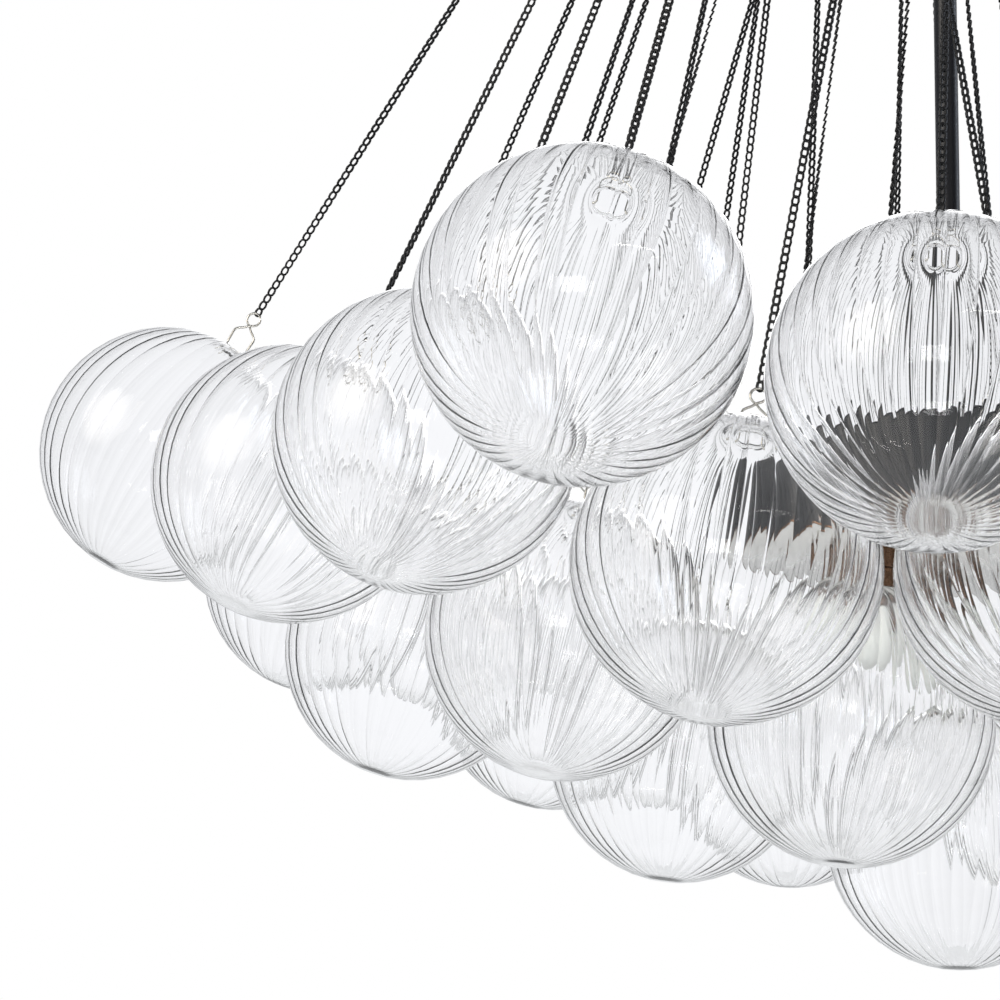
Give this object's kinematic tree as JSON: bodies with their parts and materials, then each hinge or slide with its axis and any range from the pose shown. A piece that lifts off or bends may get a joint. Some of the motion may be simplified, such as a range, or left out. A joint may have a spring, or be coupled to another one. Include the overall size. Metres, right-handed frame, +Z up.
{
  "type": "bubble chandelier",
  "caption": "Ceiling chandelier with clear blown glass bubbles hung on fine black chains in a packed hexagonal bowl under a black rod and drum lamp.",
  "frame": {"origin": "centre of the ceiling bracket's top face, on the ceiling", "axes": "+Z up out of the ceiling face, -Y towards the front of the picture, +X to the right"},
  "size_m": [1.0702, 0.9424, 1.16],
  "materials": {
    "clear_glass": "clear polished",
    "bulb_glass": "frosted",
    "chain_black": "matte black",
    "zinc": "zinc plated",
    "bronze": "satin bronze",
    "lamp_black": "satin black",
    "black_metal": "satin black"
  },
  "bodies": {
    "fixture": {"ceiling_bracket": "zinc", "centre_hanger": "chain_black", "chains_back": "chain_black", "chains_back_left": "chain_black", "chains_front": "chain_black", "chains_front_right": "chain_black", "chains_left": "chain_black", "chains_right": "chain_black", "hook_ring": "black_metal", "lamp_body": "lamp_black", "lamp_plate": "bronze", "rod": "black_metal"},
    "canopy": {"canopy": "black_metal", "canopy_collar": "black_metal"},
    "corner_pendant_01": {"corner_hanger_01": "chain_black"},
    "corner_pendant_04": {"corner_hanger_04": "chain_black"},
    "corner_pendant_07": {"corner_hanger_07": "chain_black"},
    "corner_pendant_10": {"corner_hanger_10": "chain_black"},
    "corner_pendant_13": {"corner_hanger_13": "chain_black"},
    "corner_pendant_16": {"corner_hanger_16": "chain_black"},
    "globe_centre": {"globe_centre": "clear_glass"},
    "globe_inner_00": {"globe_inner_00": "clear_glass"},
    "globe_inner_01": {"globe_inner_01": "clear_glass"},
    "globe_inner_02": {"globe_inner_02": "clear_glass"},
    "globe_inner_03": {"globe_inner_03": "clear_glass"},
    "globe_inner_04": {"globe_inner_04": "clear_glass"},
    "globe_inner_05": {"globe_inner_05": "clear_glass"},
    "globe_middle_00": {"globe_middle_00": "clear_glass"},
    "globe_middle_01": {"globe_middle_01": "clear_glass"},
    "globe_middle_02": {"globe_middle_02": "clear_glass"},
    "globe_middle_03": {"globe_middle_03": "clear_glass"},
    "globe_middle_04": {"globe_middle_04": "clear_glass"},
    "globe_middle_05": {"globe_middle_05": "clear_glass"},
    "globe_middle_06": {"globe_middle_06": "clear_glass"},
    "globe_middle_07": {"globe_middle_07": "clear_glass"},
    "globe_middle_08": {"globe_middle_08": "clear_glass"},
    "globe_middle_09": {"globe_middle_09": "clear_glass"},
    "globe_middle_10": {"globe_middle_10": "clear_glass"},
    "globe_middle_11": {"globe_middle_11": "clear_glass"},
    "globe_outer_00": {"globe_outer_00": "clear_glass"},
    "globe_outer_01": {"globe_outer_01": "clear_glass"},
    "globe_outer_02": {"globe_outer_02": "clear_glass"},
    "globe_outer_03": {"globe_outer_03": "clear_glass"},
    "globe_outer_04": {"globe_outer_04": "clear_glass"},
    "globe_outer_05": {"globe_outer_05": "clear_glass"},
    "globe_outer_06": {"globe_outer_06": "clear_glass"},
    "globe_outer_07": {"globe_outer_07": "clear_glass"},
    "globe_outer_08": {"globe_outer_08": "clear_glass"},
    "globe_outer_09": {"globe_outer_09": "clear_glass"},
    "globe_outer_10": {"globe_outer_10": "clear_glass"},
    "globe_outer_11": {"globe_outer_11": "clear_glass"},
    "globe_outer_12": {"globe_outer_12": "clear_glass"},
    "globe_outer_13": {"globe_outer_13": "clear_glass"},
    "globe_outer_14": {"globe_outer_14": "clear_glass"},
    "globe_outer_15": {"globe_outer_15": "clear_glass"},
    "globe_outer_16": {"globe_outer_16": "clear_glass"},
    "globe_outer_17": {"globe_outer_17": "clear_glass"},
    "bulb_1": {"bulb_1": "bulb_glass"},
    "bulb_2": {"bulb_2": "bulb_glass"},
    "bulb_3": {"bulb_3": "bulb_glass"}
  },
  "joints": [
    {"name": "canopy_slide", "type": "slide", "parent": "fixture", "child": "canopy", "axis": [0, 0, -1], "range_m": [0, 0.06]},
    {"name": "corner_swing_01", "type": "hinge", "parent": "fixture", "child": "corner_pendant_01", "pos_m": [-0.0614, -0.00863, -0.14849], "axis": [-0.8651, 0.5017, 0], "range_deg": [0, 25]},
    {"name": "corner_swing_04", "type": "hinge", "parent": "fixture", "child": "corner_pendant_04", "pos_m": [-0.06064, 0.01289, -0.14849], "axis": [0.0019, 1, 0], "range_deg": [0, 25]},
    {"name": "corner_swing_07", "type": "hinge", "parent": "fixture", "child": "corner_pendant_07", "pos_m": [-0.031, 0.05369, -0.14849], "axis": [0.867, 0.4983, 0], "range_deg": [0, 25]},
    {"name": "corner_swing_10", "type": "hinge", "parent": "fixture", "child": "corner_pendant_10", "pos_m": [0.0614, 0.00863, -0.14849], "axis": [0.8651, -0.5017, 0], "range_deg": [0, 25]},
    {"name": "corner_swing_13", "type": "hinge", "parent": "fixture", "child": "corner_pendant_13", "pos_m": [0.06064, -0.01289, -0.14849], "axis": [-0.0019, -1, 0], "range_deg": [0, 25]},
    {"name": "corner_swing_16", "type": "hinge", "parent": "fixture", "child": "corner_pendant_16", "pos_m": [0.031, -0.05369, -0.14849], "axis": [-0.867, -0.4983, 0], "range_deg": [0, 25]},
    {"name": "turn_centre", "type": "hinge", "parent": "fixture", "child": "globe_centre", "pos_m": [0, 0, -1.085], "axis": [0, 0, 1], "continuous": true},
    {"name": "turn_inner_00", "type": "hinge", "parent": "fixture", "child": "globe_inner_00", "pos_m": [0.07935, -0.13805, -1.03349], "axis": [-0.0196, 0.1561, 0.9876], "continuous": true},
    {"name": "turn_inner_01", "type": "hinge", "parent": "fixture", "child": "globe_inner_01", "pos_m": [-0.07988, -0.13774, -1.03709], "axis": [0.0964, 0.0859, 0.9916], "continuous": true},
    {"name": "turn_inner_02", "type": "hinge", "parent": "fixture", "child": "globe_inner_02", "pos_m": [-0.15923, 0.00031, -1.03914], "axis": [0.1099, -0.0003, 0.9939], "continuous": true},
    {"name": "turn_inner_03", "type": "hinge", "parent": "fixture", "child": "globe_inner_03", "pos_m": [-0.07935, 0.13805, -1.03349], "axis": [0.0196, -0.1561, 0.9876], "continuous": true},
    {"name": "turn_inner_04", "type": "hinge", "parent": "fixture", "child": "globe_inner_04", "pos_m": [0.07988, 0.13774, -1.03709], "axis": [-0.0964, -0.0859, 0.9916], "continuous": true},
    {"name": "turn_inner_05", "type": "hinge", "parent": "fixture", "child": "globe_inner_05", "pos_m": [0.15923, -0.00031, -1.03914], "axis": [-0.1099, 0.0003, 0.9939], "continuous": true},
    {"name": "turn_middle_00", "type": "hinge", "parent": "fixture", "child": "globe_middle_00", "pos_m": [-0.00051, -0.26405, -0.9772], "axis": [-0.0714, 0.3067, 0.9491], "continuous": true},
    {"name": "turn_middle_01", "type": "hinge", "parent": "fixture", "child": "globe_middle_01", "pos_m": [-0.1571, -0.2709, -0.97925], "axis": [0.1887, 0.2429, 0.9515], "continuous": true},
    {"name": "turn_middle_02", "type": "hinge", "parent": "fixture", "child": "globe_middle_02", "pos_m": [-0.22892, -0.13159, -0.99435], "axis": [0.1939, 0.1528, 0.969], "continuous": true},
    {"name": "turn_middle_03", "type": "hinge", "parent": "fixture", "child": "globe_middle_03", "pos_m": [-0.31315, 0.0006, -0.98355], "axis": [0.2917, -0.0007, 0.9565], "continuous": true},
    {"name": "turn_middle_04", "type": "hinge", "parent": "fixture", "child": "globe_middle_04", "pos_m": [-0.22842, 0.13246, -0.9886], "axis": [0.259, -0.0821, 0.9624], "continuous": true},
    {"name": "turn_middle_05", "type": "hinge", "parent": "fixture", "child": "globe_middle_05", "pos_m": [-0.15606, 0.2715, -0.97925], "axis": [0.116, -0.2849, 0.9515], "continuous": true},
    {"name": "turn_middle_06", "type": "hinge", "parent": "fixture", "child": "globe_middle_06", "pos_m": [0.00051, 0.26405, -0.99688], "axis": [-0.0069, -0.2349, 0.972], "continuous": true},
    {"name": "turn_middle_07", "type": "hinge", "parent": "fixture", "child": "globe_middle_07", "pos_m": [0.1571, 0.2709, -0.97925], "axis": [-0.1887, -0.2429, 0.9515], "continuous": true},
    {"name": "turn_middle_08", "type": "hinge", "parent": "fixture", "child": "globe_middle_08", "pos_m": [0.22892, 0.13159, -0.99435], "axis": [-0.1939, -0.1528, 0.969], "continuous": true},
    {"name": "turn_middle_09", "type": "hinge", "parent": "fixture", "child": "globe_middle_09", "pos_m": [0.31315, -0.0006, -0.98355], "axis": [-0.2917, 0.0007, 0.9565], "continuous": true},
    {"name": "turn_middle_10", "type": "hinge", "parent": "fixture", "child": "globe_middle_10", "pos_m": [0.22842, -0.13246, -0.9886], "axis": [-0.259, 0.0821, 0.9624], "continuous": true},
    {"name": "turn_middle_11", "type": "hinge", "parent": "fixture", "child": "globe_middle_11", "pos_m": [0.15606, -0.2715, -0.97925], "axis": [-0.116, 0.2849, 0.9515], "continuous": true},
    {"name": "turn_outer_00", "type": "hinge", "parent": "fixture", "child": "globe_outer_00", "pos_m": [-0.0761, -0.39138, -0.91573], "axis": [0.0984, 0.3979, 0.9122], "continuous": true},
    {"name": "turn_outer_01", "type": "hinge", "parent": "corner_pendant_01", "child": "globe_outer_01", "pos_m": [-0.23111, -0.39853, -0.89078], "axis": [0.2007, 0.4611, 0.8643], "continuous": true},
    {"name": "turn_outer_02", "type": "hinge", "parent": "fixture", "child": "globe_outer_02", "pos_m": [-0.3019, -0.26044, -0.91727], "axis": [0.287, 0.3115, 0.9059], "continuous": true},
    {"name": "turn_outer_03", "type": "hinge", "parent": "fixture", "child": "globe_outer_03", "pos_m": [-0.377, -0.12979, -0.91321], "axis": [0.381, 0.157, 0.9111], "continuous": true},
    {"name": "turn_outer_04", "type": "hinge", "parent": "corner_pendant_04", "child": "globe_outer_04", "pos_m": [-0.46069, 0.00088, -0.87033], "axis": [0.4907, 0.0147, 0.8712], "continuous": true},
    {"name": "turn_outer_05", "type": "hinge", "parent": "fixture", "child": "globe_outer_05", "pos_m": [-0.3765, 0.13123, -0.91826], "axis": [0.3783, -0.1579, 0.9121], "continuous": true},
    {"name": "turn_outer_06", "type": "hinge", "parent": "fixture", "child": "globe_outer_06", "pos_m": [-0.3009, 0.2616, -0.91482], "axis": [0.2957, -0.2844, 0.912], "continuous": true},
    {"name": "turn_outer_07", "type": "hinge", "parent": "corner_pendant_07", "child": "globe_outer_07", "pos_m": [-0.22958, 0.39941, -0.88835], "axis": [0.2392, -0.4164, 0.8772], "continuous": true},
    {"name": "turn_outer_08", "type": "hinge", "parent": "fixture", "child": "globe_outer_08", "pos_m": [-0.0746, 0.39167, -0.92055], "axis": [0.0832, -0.3966, 0.9142], "continuous": true},
    {"name": "turn_outer_09", "type": "hinge", "parent": "fixture", "child": "globe_outer_09", "pos_m": [0.0761, 0.39138, -0.91573], "axis": [-0.0984, -0.3979, 0.9122], "continuous": true},
    {"name": "turn_outer_10", "type": "hinge", "parent": "corner_pendant_10", "child": "globe_outer_10", "pos_m": [0.23111, 0.39853, -0.89078], "axis": [-0.2007, -0.4611, 0.8643], "continuous": true},
    {"name": "turn_outer_11", "type": "hinge", "parent": "fixture", "child": "globe_outer_11", "pos_m": [0.3019, 0.26044, -0.91727], "axis": [-0.287, -0.3115, 0.9059], "continuous": true},
    {"name": "turn_outer_12", "type": "hinge", "parent": "fixture", "child": "globe_outer_12", "pos_m": [0.377, 0.12979, -0.91321], "axis": [-0.381, -0.157, 0.9111], "continuous": true},
    {"name": "turn_outer_13", "type": "hinge", "parent": "corner_pendant_13", "child": "globe_outer_13", "pos_m": [0.46069, -0.00088, -0.87033], "axis": [-0.4907, -0.0147, 0.8712], "continuous": true},
    {"name": "turn_outer_14", "type": "hinge", "parent": "fixture", "child": "globe_outer_14", "pos_m": [0.3765, -0.13123, -0.91826], "axis": [-0.3783, 0.1579, 0.9121], "continuous": true},
    {"name": "turn_outer_15", "type": "hinge", "parent": "fixture", "child": "globe_outer_15", "pos_m": [0.3009, -0.2616, -0.91482], "axis": [-0.2957, 0.2844, 0.912], "continuous": true},
    {"name": "turn_outer_16", "type": "hinge", "parent": "corner_pendant_16", "child": "globe_outer_16", "pos_m": [0.22958, -0.39941, -0.88835], "axis": [-0.2392, 0.4164, 0.8772], "continuous": true},
    {"name": "turn_outer_17", "type": "hinge", "parent": "fixture", "child": "globe_outer_17", "pos_m": [0.0746, -0.39167, -0.92055], "axis": [-0.0832, 0.3966, 0.9142], "continuous": true},
    {"name": "bulb_1_plug", "type": "slide", "parent": "fixture", "child": "bulb_1", "axis": [0, 0, -1], "range_m": [0, 0.02]},
    {"name": "bulb_2_plug", "type": "slide", "parent": "fixture", "child": "bulb_2", "axis": [0, 0, -1], "range_m": [0, 0.02]},
    {"name": "bulb_3_plug", "type": "slide", "parent": "fixture", "child": "bulb_3", "axis": [0, 0, -1], "range_m": [0, 0.02]}
  ]
}
